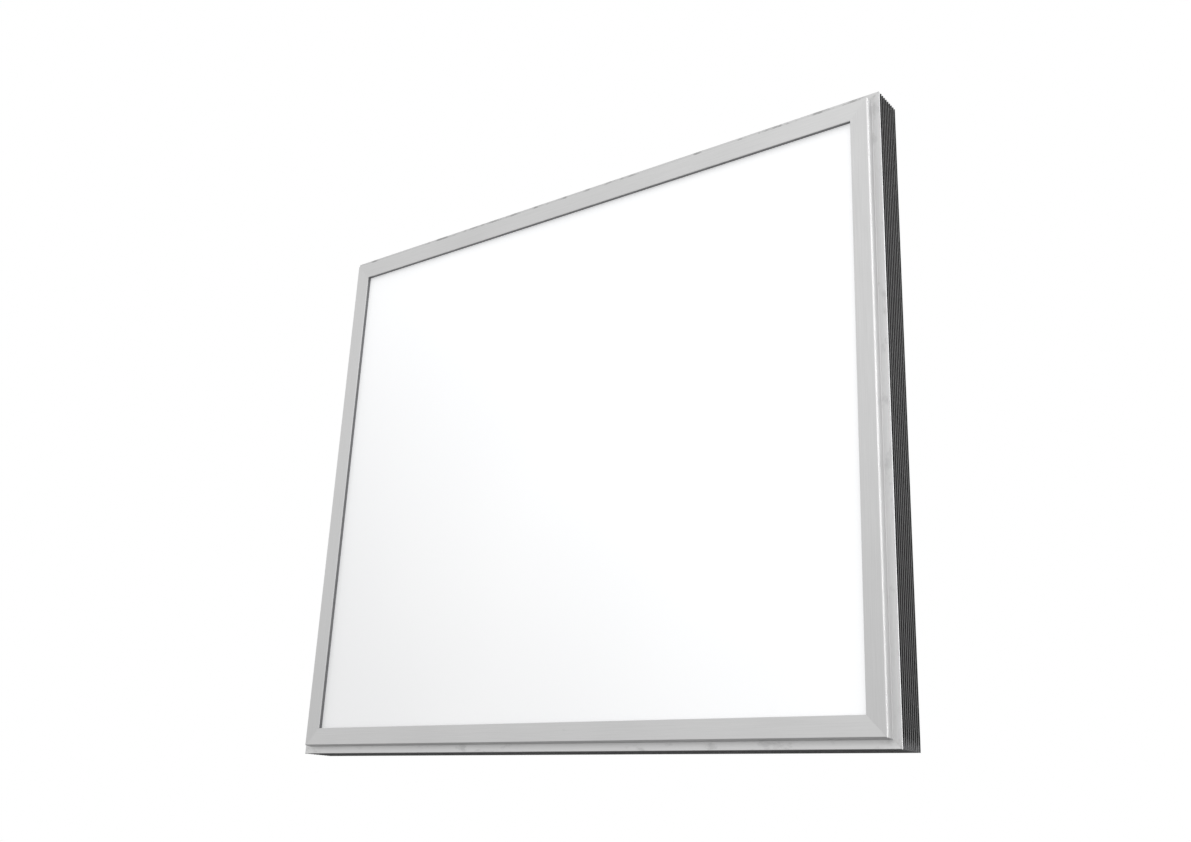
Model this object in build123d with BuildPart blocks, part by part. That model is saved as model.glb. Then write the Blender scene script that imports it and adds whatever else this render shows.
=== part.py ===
from build123d import *
from math import radians, tan
import os

os.makedirs("parts", exist_ok=True)

# An edge-lit LED panel: a silver bezel of four mitred rails in front, four dark ribbed rails round the
# sides, a white diffuser in the bezel, and behind it the light guide, the LED boards and the driver.
#
# Frame, in millimetres: X to the right, Z up, the luminous face looks along -Y, and the back is on Y = 0.
# The origin is the middle of the back.
# An "inset" is a distance inward from the panel's outer edge, and a "level" a distance forward from its back.

# Overall size
PANEL_WIDTH = 595.0
PANEL_HEIGHT = 506.0
LIP_LEVEL = 31.0
MITRE_GAP = 0.02
FORWARD = Vector(0, -1, 0)
INWARD = {
    "top": Vector(0, 0, -1),
    "bottom": Vector(0, 0, 1),
    "left": Vector(1, 0, 0),
    "right": Vector(-1, 0, 0),
}

# Bezel section
LIP_WIDTH = 6.4
LIP_THICKNESS = 1.4
LIP_BACK = LIP_LEVEL - LIP_THICKNESS
RISER_TOP = (7.2, LIP_LEVEL + 7.2)
INNER_EDGE = (22.4, LIP_LEVEL + 6.2)
SEAL_INSETS = (20.4, 22.1)
SEAL_TOP_LEVEL = INNER_EDGE[1] - 0.6
RISER_BACK_INSET = 8.0
BEZEL_POCKET_INSET = 9.0
BEZEL_POCKET_LEVEL = LIP_LEVEL + 4.6
PORT_INSET = 3.4
PORT_LEVEL = 27.6
LIP_EDGE_RADIUS = 0.4
RISER_FOOT_RADIUS = 0.4
RISER_TOP_RADIUS = 0.5
INNER_EDGE_RADIUS = 0.3

# Side rail section
WALL_THICKNESS = 3.2
RIB_COUNT = 9
RIB_GROOVE_WIDTH = 1.7
RIB_GROOVE_DEPTH = 1.0
RIB_RADIUS = 0.35
FLANGE_LEVEL = 2.8
FLANGE_THICKNESS = 2.0
FLANGE_INSET = 16.5
WEB_INSET = 9.4
WEB_THICKNESS = 1.5
WEB_LOW_LEVEL = 19.0
WEB_HIGH_LEVEL = 34.0
UPSTAND_LEVEL = 9.0
LEDGE_LEVEL = 25.6
SHELF_LEVEL = 22.6
SHELF_THICKNESS = 1.8
SHELF_INSET = 18.0
RAIL_REACH = 24.0

# Optical stack, from the diffuser's front face back to the inner plate
DIFFUSER_LEVEL = LIP_LEVEL + 2.2
DIFFUSER_THICKNESS = 1.5
GUIDE_THICKNESS = 3.0
REFLECTOR_THICKNESS = 0.3
PLATE_THICKNESS = 0.8
STACK_SIDE_INSET = 11.4
STACK_END_INSET = 13.4
FOAM_INSET = 16.0
EDGE_TAPE_THICKNESS = 0.2

# LED boards
WEB_FACE = WEB_INSET + WEB_THICKNESS
THERMAL_TAPE_THICKNESS = 0.2
LED_BOARD_THICKNESS = 1.2
LED_BOARD_LENGTH = 556.0
LED_BOARD_LOW_LEVEL = 26.5
LED_BOARD_WIDTH = 6.5
CHIP_COUNT = 48
CHIP_PITCH = 11.5
CHIP_LENGTH = 3.5
CHIP_WIDTH = 2.8
CHIP_THICKNESS = 0.8

# Corner joints
CORNER_PLATE_LEG = 60.0
CORNER_PLATE_INSETS = (11.5, 19.5)
CORNER_PLATE_THICKNESS = 1.4
KEY_LEG = 48.0
KEY_INSETS = (3.4, 9.2)
KEY_LEVELS = (5.4, 25.0)
GRUB_RADIUS = 2.5
GRUB_LENGTH = 5.0
GRUB_FROM_CORNER = 32.0
GRUB_SOCKET_RADIUS = 1.4
GRUB_SOCKET_DEPTH = 2.5

# Screws
BEZEL_SCREW_INSET = 6.0
BEZEL_SCREW_RADIUS = 1.25
BEZEL_SCREW_HEAD_RADIUS = 2.2
BEZEL_SCREW_HEAD_HEIGHT = 1.8
BEZEL_SCREW_END_LEVEL = 30.0
BEZEL_ACCESS_RADIUS = 2.6
BEZEL_SCREWS_LONG = (-210.0, -70.0, 70.0, 210.0)
BEZEL_SCREWS_SHORT = (-165.0, 0.0, 165.0)
COVER_SCREW_INSET = 13.5
COVER_SCREW_RADIUS = 1.5
COVER_SCREW_HEAD_RADIUS = 3.0
COVER_SCREW_END_LEVEL = 8.0
COVER_SCREWS_LONG = (-250.0, -125.0, 0.0, 125.0, 250.0)
COVER_SCREWS_SHORT = (-120.0, 0.0, 120.0)
COUNTERSINK_HEIGHT = 1.6
SOCKET_DEPTH = 1.0

# Back cover and what is in it
COVER_THICKNESS = 2.0
COVER_INSET = WALL_THICKNESS + 0.2
COVER_CORNER_RADIUS = 1.5
BEAD_WIDTH = 9.0
BEAD_DEPTH = 0.8
LONG_BEAD = 350.0
SHORT_BEAD = 250.0
BEAD_INSET = 46.0
GASKET_INSETS = (4.0, 16.0)
MOUNT_SPACING_X = 400.0
MOUNT_SPACING_Z = 300.0
MOUNT_THREAD_RADIUS = 2.5
MOUNT_COLLAR_RADIUS = 3.6
MOUNT_NUT_RADIUS = 5.2
MOUNT_NUT_HEIGHT = 4.0
INLET_X = -150.0
INLET_Z = 86.0
INLET_BORE_RADIUS = 3.5
INLET_NECK_RADIUS = 6.4
INLET_FLANGE_RADIUS = 8.8
INLET_RECESS_DEPTH = 1.2
INLET_INNER_LEVEL = 3.6

# Driver, on the back of the inner plate
PLATE_LEVEL = SHELF_LEVEL + SHELF_THICKNESS
DRIVER_Z = 86.0
DRIVER_LENGTH = 190.0
DRIVER_WIDTH = 52.0
DRIVER_SHEET = 1.0
DRIVER_TOP_LEVEL = 8.0
DRIVER_EAR = 12.0
DRIVER_BOARD_LEVEL = 19.4
DRIVER_BOARD_THICKNESS = 1.6
DRIVER_BOARD_MARGIN = 1.5
DRIVER_POST_RADIUS = 2.5
DRIVER_FLOOR_LEVEL = PLATE_LEVEL - DRIVER_SHEET
LID_CLEARANCE = 0.2
DRIVER_OUTLET_RADIUS = 3.2
DRIVER_OUTLET_LEVEL = 15.0
OUTLET_OFFSET_Z = 7.0
TERMINAL_POLES = 3
TERMINAL_PITCH = 7.5
TERMINAL_DEPTH = 14.0
TERMINAL_HEIGHT = 10.4
TERMINAL_ENTRY_RADIUS = 1.7
TERMINAL_SCREW_RADIUS = 1.8

# Leads
LEAD_RADIUS = 0.9
LEAD_ARC_SHARE = 0.45
LEAD_SPACING = 5.0
LEAD_INSET = WEB_FACE + THERMAL_TAPE_THICKNESS + LED_BOARD_THICKNESS + LEAD_RADIUS + 0.05
LEAD_CROSSING_X = 232.0
LEAD_HOLE_RADIUS = 1.6
LEAD_END_LEVEL = 28.1
LEAD_NOTCH_WIDTH = 14.0
LEAD_NOTCH_REACH = 5.0

# Earth point
EARTH_X = -124.0
EARTH_Z = 52.0
EARTH_SCREW_RADIUS = 2.0
EARTH_HEAD_RADIUS = 3.6
EARTH_HEAD_HEIGHT = 2.4
EARTH_LUG_RADIUS = 4.2
EARTH_LUG_THICKNESS = 0.8


def save(builder, name):
    """Label a finished piece and write it."""
    builder.part.label = name
    export_step(builder.part, f"parts/{name}.step")


def rail_length(side):
    """The panel's width for the top and bottom, its height for the left and right."""
    return PANEL_WIDTH if side in ("top", "bottom") else PANEL_HEIGHT


def outer_edge(side):
    """The middle of one outer edge, at the back."""
    across = PANEL_HEIGHT if side in ("top", "bottom") else PANEL_WIDTH
    return INWARD[side] * (-across / 2)


def section_plane(side):
    """Plane across a rail: local X is the inset and local Y the level."""
    return Plane(origin=outer_edge(side), x_dir=INWARD[side], z_dir=INWARD[side].cross(FORWARD))


def plan_plane(side, level=0.0):
    """Plane along a rail: local X runs along it, local Y is the inset, and it looks forward."""
    origin = outer_edge(side) + FORWARD * level
    return Plane(origin=origin, x_dir=INWARD[side].cross(FORWARD), z_dir=FORWARD)


def face_plane(level):
    """Plane that looks forward at a level: local X and Y are the frame's X and Z."""
    return Plane.XZ.offset(level)


def back_plane(level=0.0):
    """Plane that looks backward at a level: local X is the frame's -X, local Y its Z."""
    return Plane(origin=(0, -level, 0), x_dir=(-1, 0, 0), z_dir=(0, 1, 0))


def along_rails(inset, long_places, short_places):
    """(X, Z) places at one inset round the panel."""
    x_edge = PANEL_WIDTH / 2 - inset
    z_edge = PANEL_HEIGHT / 2 - inset
    long_sides = [(place, z) for z in (-z_edge, z_edge) for place in long_places]
    short_sides = [(x, place) for x in (-x_edge, x_edge) for place in short_places]
    return long_sides + short_sides


BEZEL_SCREW_PLACES = along_rails(BEZEL_SCREW_INSET, BEZEL_SCREWS_LONG, BEZEL_SCREWS_SHORT)
COVER_SCREW_PLACES = along_rails(COVER_SCREW_INSET, COVER_SCREWS_LONG, COVER_SCREWS_SHORT)


def mitre_outline(side):
    """The plan of a rail with its two 45 degree ends."""
    half = rail_length(side) / 2 - MITRE_GAP / 2 * 2**0.5
    return [(-half, 0), (half, 0), (half - RAIL_REACH, RAIL_REACH), (-half + RAIL_REACH, RAIL_REACH)]


# Bezel rails
BEZEL_SECTION = [
    (0, LIP_BACK),
    (0, LIP_LEVEL),
    (LIP_WIDTH, LIP_LEVEL),
    RISER_TOP,
    INNER_EDGE,
    (INNER_EDGE[0], SEAL_TOP_LEVEL),
    (SEAL_INSETS[0], SEAL_TOP_LEVEL),
    (SEAL_INSETS[0], BEZEL_POCKET_LEVEL),
    (BEZEL_POCKET_INSET, BEZEL_POCKET_LEVEL),
    (RISER_BACK_INSET, LIP_LEVEL),
    (RISER_BACK_INSET, PORT_LEVEL),
    (PORT_INSET, PORT_LEVEL),
    (PORT_INSET, LIP_BACK),
]
BEZEL_ROUNDS = [
    ((0, LIP_LEVEL), LIP_EDGE_RADIUS),
    ((LIP_WIDTH, LIP_LEVEL), RISER_FOOT_RADIUS),
    (RISER_TOP, RISER_TOP_RADIUS),
    (INNER_EDGE, INNER_EDGE_RADIUS),
]


def make_bezel(side):
    """One bezel rail, with the blind holes for its screws in the port behind the lip."""
    with BuildPart() as bezel:
        with BuildSketch(section_plane(side)) as section:
            with BuildLine():
                Polyline(*BEZEL_SECTION, close=True)
            make_face()
            for corner, radius in BEZEL_ROUNDS:
                fillet(section.vertices().sort_by_distance((*corner, 0))[0], radius)
        extrude(amount=rail_length(side) / 2, both=True)
        with BuildSketch(plan_plane(side)):
            Polygon(*mitre_outline(side), align=None)
        extrude(amount=RISER_TOP[1] + 1, mode=Mode.INTERSECT)
        with BuildSketch(face_plane(PORT_LEVEL)):
            with Locations(*BEZEL_SCREW_PLACES):
                Circle(BEZEL_SCREW_RADIUS)
        extrude(amount=BEZEL_SCREW_END_LEVEL - PORT_LEVEL, mode=Mode.SUBTRACT)
    return bezel


for side_name in INWARD:
    save(make_bezel(side_name), f"bezel_{side_name}")


# Side rails
RAIL_SECTION = [
    (0, 0),
    (WALL_THICKNESS, 0),
    (WALL_THICKNESS, FLANGE_LEVEL),
    (FLANGE_INSET, FLANGE_LEVEL),
    (FLANGE_INSET, FLANGE_LEVEL + FLANGE_THICKNESS),
    (WEB_FACE, FLANGE_LEVEL + FLANGE_THICKNESS),
    (WEB_FACE, UPSTAND_LEVEL),
    (WEB_INSET, UPSTAND_LEVEL),
    (WEB_INSET, FLANGE_LEVEL + FLANGE_THICKNESS),
    (WALL_THICKNESS, FLANGE_LEVEL + FLANGE_THICKNESS),
    (WALL_THICKNESS, LEDGE_LEVEL),
    (WEB_INSET, LEDGE_LEVEL),
    (WEB_INSET, WEB_LOW_LEVEL),
    (WEB_FACE, WEB_LOW_LEVEL),
    (WEB_FACE, SHELF_LEVEL),
    (SHELF_INSET, SHELF_LEVEL),
    (SHELF_INSET, PLATE_LEVEL),
    (WEB_FACE, PLATE_LEVEL),
    (WEB_FACE, WEB_HIGH_LEVEL),
    (WEB_INSET, WEB_HIGH_LEVEL),
    (WEB_INSET, PORT_LEVEL),
    (WALL_THICKNESS, PORT_LEVEL),
    (WALL_THICKNESS, LIP_BACK),
    (0, LIP_BACK),
]
RIB_PITCH = LIP_BACK / RIB_COUNT
LEAD_PLACES = [
    (LEAD_CROSSING_X + offset, sign * (PANEL_HEIGHT / 2 - LEAD_INSET))
    for sign in (-1, 1)
    for offset in (-LEAD_SPACING / 2, LEAD_SPACING / 2)
]


def make_side_rail(side):
    """One ribbed rail, with its screw holes, the access holes behind them and the holes for the leads."""
    with BuildPart() as rail:
        with BuildSketch(section_plane(side)) as section:
            with BuildLine():
                Polyline(*RAIL_SECTION, close=True)
            make_face()
            with Locations(*[(0, (index + 0.5) * RIB_PITCH) for index in range(RIB_COUNT)]):
                Rectangle(2 * RIB_GROOVE_DEPTH, RIB_GROOVE_WIDTH, mode=Mode.SUBTRACT)
            rib_corners = section.vertices().filter_by_position(Axis.X, -RIB_RADIUS, RIB_RADIUS)
            fillet(rib_corners, RIB_RADIUS)
        extrude(amount=rail_length(side) / 2, both=True)
        with BuildSketch(plan_plane(side)):
            Polygon(*mitre_outline(side), align=None)
        extrude(amount=WEB_HIGH_LEVEL + 1, mode=Mode.INTERSECT)
        with BuildSketch(face_plane(0)):
            with Locations(*COVER_SCREW_PLACES):
                Circle(COVER_SCREW_RADIUS)
            with Locations(*BEZEL_SCREW_PLACES):
                Circle(BEZEL_ACCESS_RADIUS)
        extrude(amount=UPSTAND_LEVEL, mode=Mode.SUBTRACT)
        with BuildSketch(face_plane(WEB_LOW_LEVEL)):
            with Locations(*BEZEL_SCREW_PLACES):
                Circle(BEZEL_SCREW_RADIUS)
            with Locations(*LEAD_PLACES):
                Circle(LEAD_HOLE_RADIUS)
        extrude(amount=PORT_LEVEL - WEB_LOW_LEVEL, mode=Mode.SUBTRACT)
    return rail


for side_name in INWARD:
    save(make_side_rail(side_name), f"side_rail_{side_name}")


# Joints at the corners
CORNERS = [(x_sign, z_sign) for x_sign in (-1, 1) for z_sign in (-1, 1)]


def corner_ell(corner, leg, insets):
    """The outline of an L in one of the panel's corners, between two insets, with legs along both edges."""
    x_sign, z_sign = corner
    x_outer, x_inner = [x_sign * (PANEL_WIDTH / 2 - inset) for inset in insets]
    z_outer, z_inner = [z_sign * (PANEL_HEIGHT / 2 - inset) for inset in insets]
    x_end = x_sign * (PANEL_WIDTH / 2 - leg)
    z_end = z_sign * (PANEL_HEIGHT / 2 - leg)
    return [
        (x_outer, z_outer),
        (x_end, z_outer),
        (x_end, z_inner),
        (x_inner, z_inner),
        (x_inner, z_end),
        (x_outer, z_end),
    ]


with BuildPart() as bezel_corner_plates:
    with BuildSketch(face_plane(BEZEL_POCKET_LEVEL - CORNER_PLATE_THICKNESS)):
        for corner in CORNERS:
            Polygon(*corner_ell(corner, CORNER_PLATE_LEG, CORNER_PLATE_INSETS), align=None)
    extrude(amount=CORNER_PLATE_THICKNESS)
save(bezel_corner_plates, "bezel_corner_plates")

GRUB_LEVEL = (UPSTAND_LEVEL + WEB_LOW_LEVEL) / 2
GRUB_PLACES = {
    "top": (PANEL_WIDTH / 2 - GRUB_FROM_CORNER),
    "bottom": (PANEL_WIDTH / 2 - GRUB_FROM_CORNER),
    "left": (PANEL_HEIGHT / 2 - GRUB_FROM_CORNER),
    "right": (PANEL_HEIGHT / 2 - GRUB_FROM_CORNER),
}


def wall_plane(side, inset):
    """Plane that looks inward from a rail's wall: local X runs along the rail, local Y is the level."""
    origin = outer_edge(side) + INWARD[side] * inset
    return Plane(origin=origin, x_dir=FORWARD.cross(INWARD[side]), z_dir=INWARD[side])


with BuildPart() as rail_corner_keys:
    with BuildSketch(face_plane(KEY_LEVELS[0])):
        for corner in CORNERS:
            Polygon(*corner_ell(corner, KEY_LEG, KEY_INSETS), align=None)
    extrude(amount=KEY_LEVELS[1] - KEY_LEVELS[0])
    for side_name, place in GRUB_PLACES.items():
        with BuildSketch(wall_plane(side_name, WALL_THICKNESS)):
            with Locations((-place, GRUB_LEVEL), (place, GRUB_LEVEL)):
                Circle(GRUB_RADIUS)
        extrude(amount=WEB_INSET - WALL_THICKNESS, mode=Mode.SUBTRACT)
save(rail_corner_keys, "rail_corner_keys")

with BuildPart() as corner_grub_screws:
    for side_name, place in GRUB_PLACES.items():
        with BuildSketch(wall_plane(side_name, WALL_THICKNESS)):
            with Locations((-place, GRUB_LEVEL), (place, GRUB_LEVEL)):
                Circle(GRUB_RADIUS)
        extrude(amount=GRUB_LENGTH)
        with BuildSketch(wall_plane(side_name, WALL_THICKNESS + GRUB_LENGTH - GRUB_SOCKET_DEPTH)):
            with Locations((-place, GRUB_LEVEL), (place, GRUB_LEVEL)):
                RegularPolygon(GRUB_SOCKET_RADIUS, side_count=6)
        extrude(amount=GRUB_SOCKET_DEPTH, mode=Mode.SUBTRACT)
save(corner_grub_screws, "corner_grub_screws")

with BuildPart() as bezel_screws:
    with BuildSketch(face_plane(LEDGE_LEVEL - BEZEL_SCREW_HEAD_HEIGHT)):
        with Locations(*BEZEL_SCREW_PLACES):
            Circle(BEZEL_SCREW_HEAD_RADIUS)
    extrude(amount=BEZEL_SCREW_HEAD_HEIGHT)
    with BuildSketch(face_plane(LEDGE_LEVEL)):
        with Locations(*BEZEL_SCREW_PLACES):
            Circle(BEZEL_SCREW_RADIUS)
    extrude(amount=BEZEL_SCREW_END_LEVEL - LEDGE_LEVEL)
    with BuildSketch(face_plane(LEDGE_LEVEL - BEZEL_SCREW_HEAD_HEIGHT)):
        with Locations(*BEZEL_SCREW_PLACES):
            RegularPolygon(BEZEL_SCREW_RADIUS, side_count=6)
    extrude(amount=SOCKET_DEPTH, mode=Mode.SUBTRACT)
save(bezel_screws, "bezel_screws")

# Optical stack
STACK_WIDTH = PANEL_WIDTH - 2 * STACK_SIDE_INSET
STACK_HEIGHT = PANEL_HEIGHT - 2 * STACK_END_INSET
GUIDE_LEVEL = DIFFUSER_LEVEL - DIFFUSER_THICKNESS - GUIDE_THICKNESS
REFLECTOR_LEVEL = GUIDE_LEVEL - REFLECTOR_THICKNESS
FOAM_LEVEL = PLATE_LEVEL + PLATE_THICKNESS


def make_sheet(level, thickness, width, height):
    """One rectangular sheet, centred on the panel, with its back face at a level."""
    with BuildPart() as sheet:
        with BuildSketch(face_plane(level)):
            Rectangle(width, height)
        extrude(amount=thickness)
    return sheet


diffuser = make_sheet(DIFFUSER_LEVEL - DIFFUSER_THICKNESS, DIFFUSER_THICKNESS, STACK_WIDTH, STACK_HEIGHT)
save(diffuser, "diffuser")

light_guide = make_sheet(GUIDE_LEVEL, GUIDE_THICKNESS, STACK_WIDTH, STACK_HEIGHT)
save(light_guide, "light_guide")

reflector_sheet = make_sheet(REFLECTOR_LEVEL, REFLECTOR_THICKNESS, STACK_WIDTH, STACK_HEIGHT)
save(reflector_sheet, "reflector_sheet")

foam_width = PANEL_WIDTH - 2 * FOAM_INSET
foam_height = PANEL_HEIGHT - 2 * FOAM_INSET
foam_pad = make_sheet(FOAM_LEVEL, REFLECTOR_LEVEL - FOAM_LEVEL, foam_width, foam_height)
save(foam_pad, "foam_pad")

seal_width = PANEL_WIDTH - 2 * SEAL_INSETS[0]
seal_height = PANEL_HEIGHT - 2 * SEAL_INSETS[1]
seal_thickness = SEAL_INSETS[1] - SEAL_INSETS[0]

with BuildPart() as diffuser_seals:
    with BuildSketch(face_plane(DIFFUSER_LEVEL)):
        with GridLocations(0, seal_height + seal_thickness, 1, 2):
            Rectangle(seal_width, seal_thickness)
        with GridLocations(seal_width - seal_thickness, 0, 2, 1):
            Rectangle(seal_thickness, seal_height - MITRE_GAP)
    extrude(amount=SEAL_TOP_LEVEL - DIFFUSER_LEVEL)
save(diffuser_seals, "diffuser_seals")

with BuildPart() as edge_tapes:
    with BuildSketch(face_plane(GUIDE_LEVEL)):
        with GridLocations(STACK_WIDTH + EDGE_TAPE_THICKNESS, 0, 2, 1):
            Rectangle(EDGE_TAPE_THICKNESS, STACK_HEIGHT)
    extrude(amount=GUIDE_THICKNESS)
save(edge_tapes, "edge_tapes")

DRIVER_SCREW_PLACES = [
    (sign * (DRIVER_LENGTH / 2 + DRIVER_EAR / 2), DRIVER_Z + offset)
    for sign in (-1, 1)
    for offset in (-DRIVER_WIDTH / 4, DRIVER_WIDTH / 4)
]

with BuildPart() as inner_plate:
    with BuildSketch(face_plane(PLATE_LEVEL)):
        Rectangle(STACK_WIDTH, PANEL_HEIGHT - 2 * STACK_SIDE_INSET)
        notch_height = PANEL_HEIGHT - 2 * STACK_SIDE_INSET
        with Locations((LEAD_CROSSING_X, 0)):
            with GridLocations(0, notch_height, 1, 2):
                Rectangle(LEAD_NOTCH_WIDTH, 2 * LEAD_NOTCH_REACH, mode=Mode.SUBTRACT)
        with Locations(*DRIVER_SCREW_PLACES):
            Circle(COVER_SCREW_RADIUS, mode=Mode.SUBTRACT)
        with Locations((EARTH_X, EARTH_Z)):
            Circle(EARTH_SCREW_RADIUS, mode=Mode.SUBTRACT)
    extrude(amount=PLATE_THICKNESS)
save(inner_plate, "inner_plate")

# LED boards, on the webs of the top and bottom rails
BOARD_INSET = WEB_FACE + THERMAL_TAPE_THICKNESS
CHIP_INSET = BOARD_INSET + LED_BOARD_THICKNESS
CHIP_LEVEL = GUIDE_LEVEL + GUIDE_THICKNESS / 2
BOARD_LEVEL = LED_BOARD_LOW_LEVEL + LED_BOARD_WIDTH / 2

for side_name in ("top", "bottom"):
    with BuildPart() as led_board:
        with BuildSketch(wall_plane(side_name, BOARD_INSET)):
            with Locations((0, BOARD_LEVEL)):
                Rectangle(LED_BOARD_LENGTH, LED_BOARD_WIDTH)
        extrude(amount=LED_BOARD_THICKNESS)
    save(led_board, f"led_board_{side_name}")

with BuildPart() as thermal_tapes:
    for side_name in ("top", "bottom"):
        with BuildSketch(wall_plane(side_name, WEB_FACE)):
            with Locations((0, BOARD_LEVEL)):
                Rectangle(LED_BOARD_LENGTH, LED_BOARD_WIDTH)
        extrude(amount=THERMAL_TAPE_THICKNESS)
save(thermal_tapes, "thermal_tapes")

with BuildPart() as led_chips:
    for side_name in ("top", "bottom"):
        with BuildSketch(wall_plane(side_name, CHIP_INSET)):
            with Locations((0, CHIP_LEVEL)):
                with GridLocations(CHIP_PITCH, 0, CHIP_COUNT, 1):
                    Rectangle(CHIP_LENGTH, CHIP_WIDTH)
        extrude(amount=CHIP_THICKNESS)
save(led_chips, "led_chips")

# Driver
with BuildPart() as driver_tray:
    with BuildSketch(face_plane(DRIVER_FLOOR_LEVEL)):
        with Locations((0, DRIVER_Z)):
            Rectangle(DRIVER_LENGTH + 2 * DRIVER_EAR, DRIVER_WIDTH)
    extrude(amount=DRIVER_SHEET)
    with BuildSketch(face_plane(DRIVER_TOP_LEVEL)):
        with Locations((0, DRIVER_Z)):
            Rectangle(DRIVER_LENGTH, DRIVER_WIDTH)
            Rectangle(DRIVER_LENGTH - 2 * DRIVER_SHEET, DRIVER_WIDTH - 2 * DRIVER_SHEET, mode=Mode.SUBTRACT)
    extrude(amount=DRIVER_FLOOR_LEVEL - DRIVER_TOP_LEVEL)
    with BuildSketch(face_plane(DRIVER_BOARD_LEVEL + DRIVER_BOARD_THICKNESS)):
        with Locations((0, DRIVER_Z)):
            with GridLocations(DRIVER_LENGTH - 24, DRIVER_WIDTH - 14, 2, 2):
                Circle(DRIVER_POST_RADIUS)
    extrude(amount=DRIVER_FLOOR_LEVEL - DRIVER_BOARD_LEVEL - DRIVER_BOARD_THICKNESS)
    with BuildSketch(Plane.YZ.offset(DRIVER_LENGTH / 2 - 2 * DRIVER_SHEET)):
        with Locations((-DRIVER_OUTLET_LEVEL, DRIVER_Z)):
            with GridLocations(0, 2 * OUTLET_OFFSET_Z, 1, 2):
                Circle(DRIVER_OUTLET_RADIUS)
    extrude(amount=4 * DRIVER_SHEET, mode=Mode.SUBTRACT)
    with BuildSketch(Plane.YZ.offset(-DRIVER_LENGTH / 2 - 2 * DRIVER_SHEET)):
        with Locations((-DRIVER_BOARD_LEVEL + TERMINAL_HEIGHT / 2, DRIVER_Z)):
            Rectangle(TERMINAL_HEIGHT, TERMINAL_POLES * TERMINAL_PITCH)
    extrude(amount=4 * DRIVER_SHEET, mode=Mode.SUBTRACT)
    with BuildSketch(face_plane(DRIVER_FLOOR_LEVEL)):
        with Locations(*DRIVER_SCREW_PLACES):
            Circle(COVER_SCREW_RADIUS)
    extrude(amount=DRIVER_SHEET, mode=Mode.SUBTRACT)
save(driver_tray, "driver_tray")

LID_LENGTH = DRIVER_LENGTH + 2 * LID_CLEARANCE
LID_WIDTH = DRIVER_WIDTH + 2 * LID_CLEARANCE
LID_SKIRT = 5.0

with BuildPart() as driver_lid:
    with BuildSketch(face_plane(DRIVER_TOP_LEVEL - DRIVER_SHEET)):
        with Locations((0, DRIVER_Z)):
            Rectangle(LID_LENGTH + 2 * DRIVER_SHEET, LID_WIDTH + 2 * DRIVER_SHEET)
    extrude(amount=LID_SKIRT)
    with BuildSketch(face_plane(DRIVER_TOP_LEVEL)):
        with Locations((0, DRIVER_Z)):
            Rectangle(LID_LENGTH, LID_WIDTH)
    extrude(amount=LID_SKIRT, mode=Mode.SUBTRACT)
    with BuildSketch(Plane.YZ.offset(-LID_LENGTH / 2 - 2 * DRIVER_SHEET)):
        with Locations((-DRIVER_TOP_LEVEL - LID_SKIRT / 2, DRIVER_Z)):
            Rectangle(LID_SKIRT, TERMINAL_POLES * TERMINAL_PITCH)
    extrude(amount=4 * DRIVER_SHEET, mode=Mode.SUBTRACT)
save(driver_lid, "driver_lid")

board_length = DRIVER_LENGTH - 2 * DRIVER_SHEET - 2 * DRIVER_BOARD_MARGIN
board_width = DRIVER_WIDTH - 2 * DRIVER_SHEET - 2 * DRIVER_BOARD_MARGIN

with BuildPart() as driver_board:
    with BuildSketch(face_plane(DRIVER_BOARD_LEVEL)):
        with Locations((0, DRIVER_Z)):
            Rectangle(board_length, board_width)
    extrude(amount=DRIVER_BOARD_THICKNESS)
save(driver_board, "driver_board")

TRANSFORMER_X = 18.0
TRANSFORMER_SIZE = (26.0, 24.0)
TRANSFORMER_HEIGHT = 10.0

with BuildPart() as transformer:
    with BuildSketch(face_plane(DRIVER_BOARD_LEVEL - TRANSFORMER_HEIGHT)):
        with Locations((TRANSFORMER_X, DRIVER_Z)):
            Rectangle(*TRANSFORMER_SIZE)
    extrude(amount=TRANSFORMER_HEIGHT)
    fillet(transformer.edges().filter_by(Axis.Y), 1.0)
save(transformer, "transformer")

CAPACITOR_PLACES = [(-22.0, -10.0), (-22.0, 8.0), (62.0, 0.0)]
CAPACITOR_RADIUS = 6.0
CAPACITOR_HEIGHT = 10.6

with BuildPart() as capacitors:
    with BuildSketch(face_plane(DRIVER_BOARD_LEVEL - CAPACITOR_HEIGHT)):
        with Locations(*[(x, DRIVER_Z + z) for x, z in CAPACITOR_PLACES]):
            Circle(CAPACITOR_RADIUS)
    extrude(amount=CAPACITOR_HEIGHT)
    rims = capacitors.edges().filter_by(GeomType.CIRCLE).group_by(Axis.Y)[-1]
    chamfer(rims, 0.6)
save(capacitors, "capacitors")

CHOKE_X = -50.0
CHOKE_RADII = (4.0, 8.0)
CHOKE_HEIGHT = 8.0

with BuildPart() as line_choke:
    with BuildSketch(face_plane(DRIVER_BOARD_LEVEL - CHOKE_HEIGHT)):
        with Locations((CHOKE_X, DRIVER_Z)):
            Circle(CHOKE_RADII[1])
            Circle(CHOKE_RADII[0], mode=Mode.SUBTRACT)
    extrude(amount=CHOKE_HEIGHT)
    fillet(line_choke.edges().filter_by(GeomType.CIRCLE).group_by(Axis.Y)[-1], 1.2)
save(line_choke, "line_choke")

TERMINAL_X = -(DRIVER_LENGTH - TERMINAL_DEPTH) / 2
TERMINAL_LEVEL = DRIVER_BOARD_LEVEL - TERMINAL_HEIGHT
TERMINAL_SCREW_X = TERMINAL_X + 1.5
ENTRY_LEVEL = DRIVER_BOARD_LEVEL - 3.2
ENTRY_DEPTH = 7.0
TERMINAL_SCREW_HEIGHT = 2.5

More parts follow.
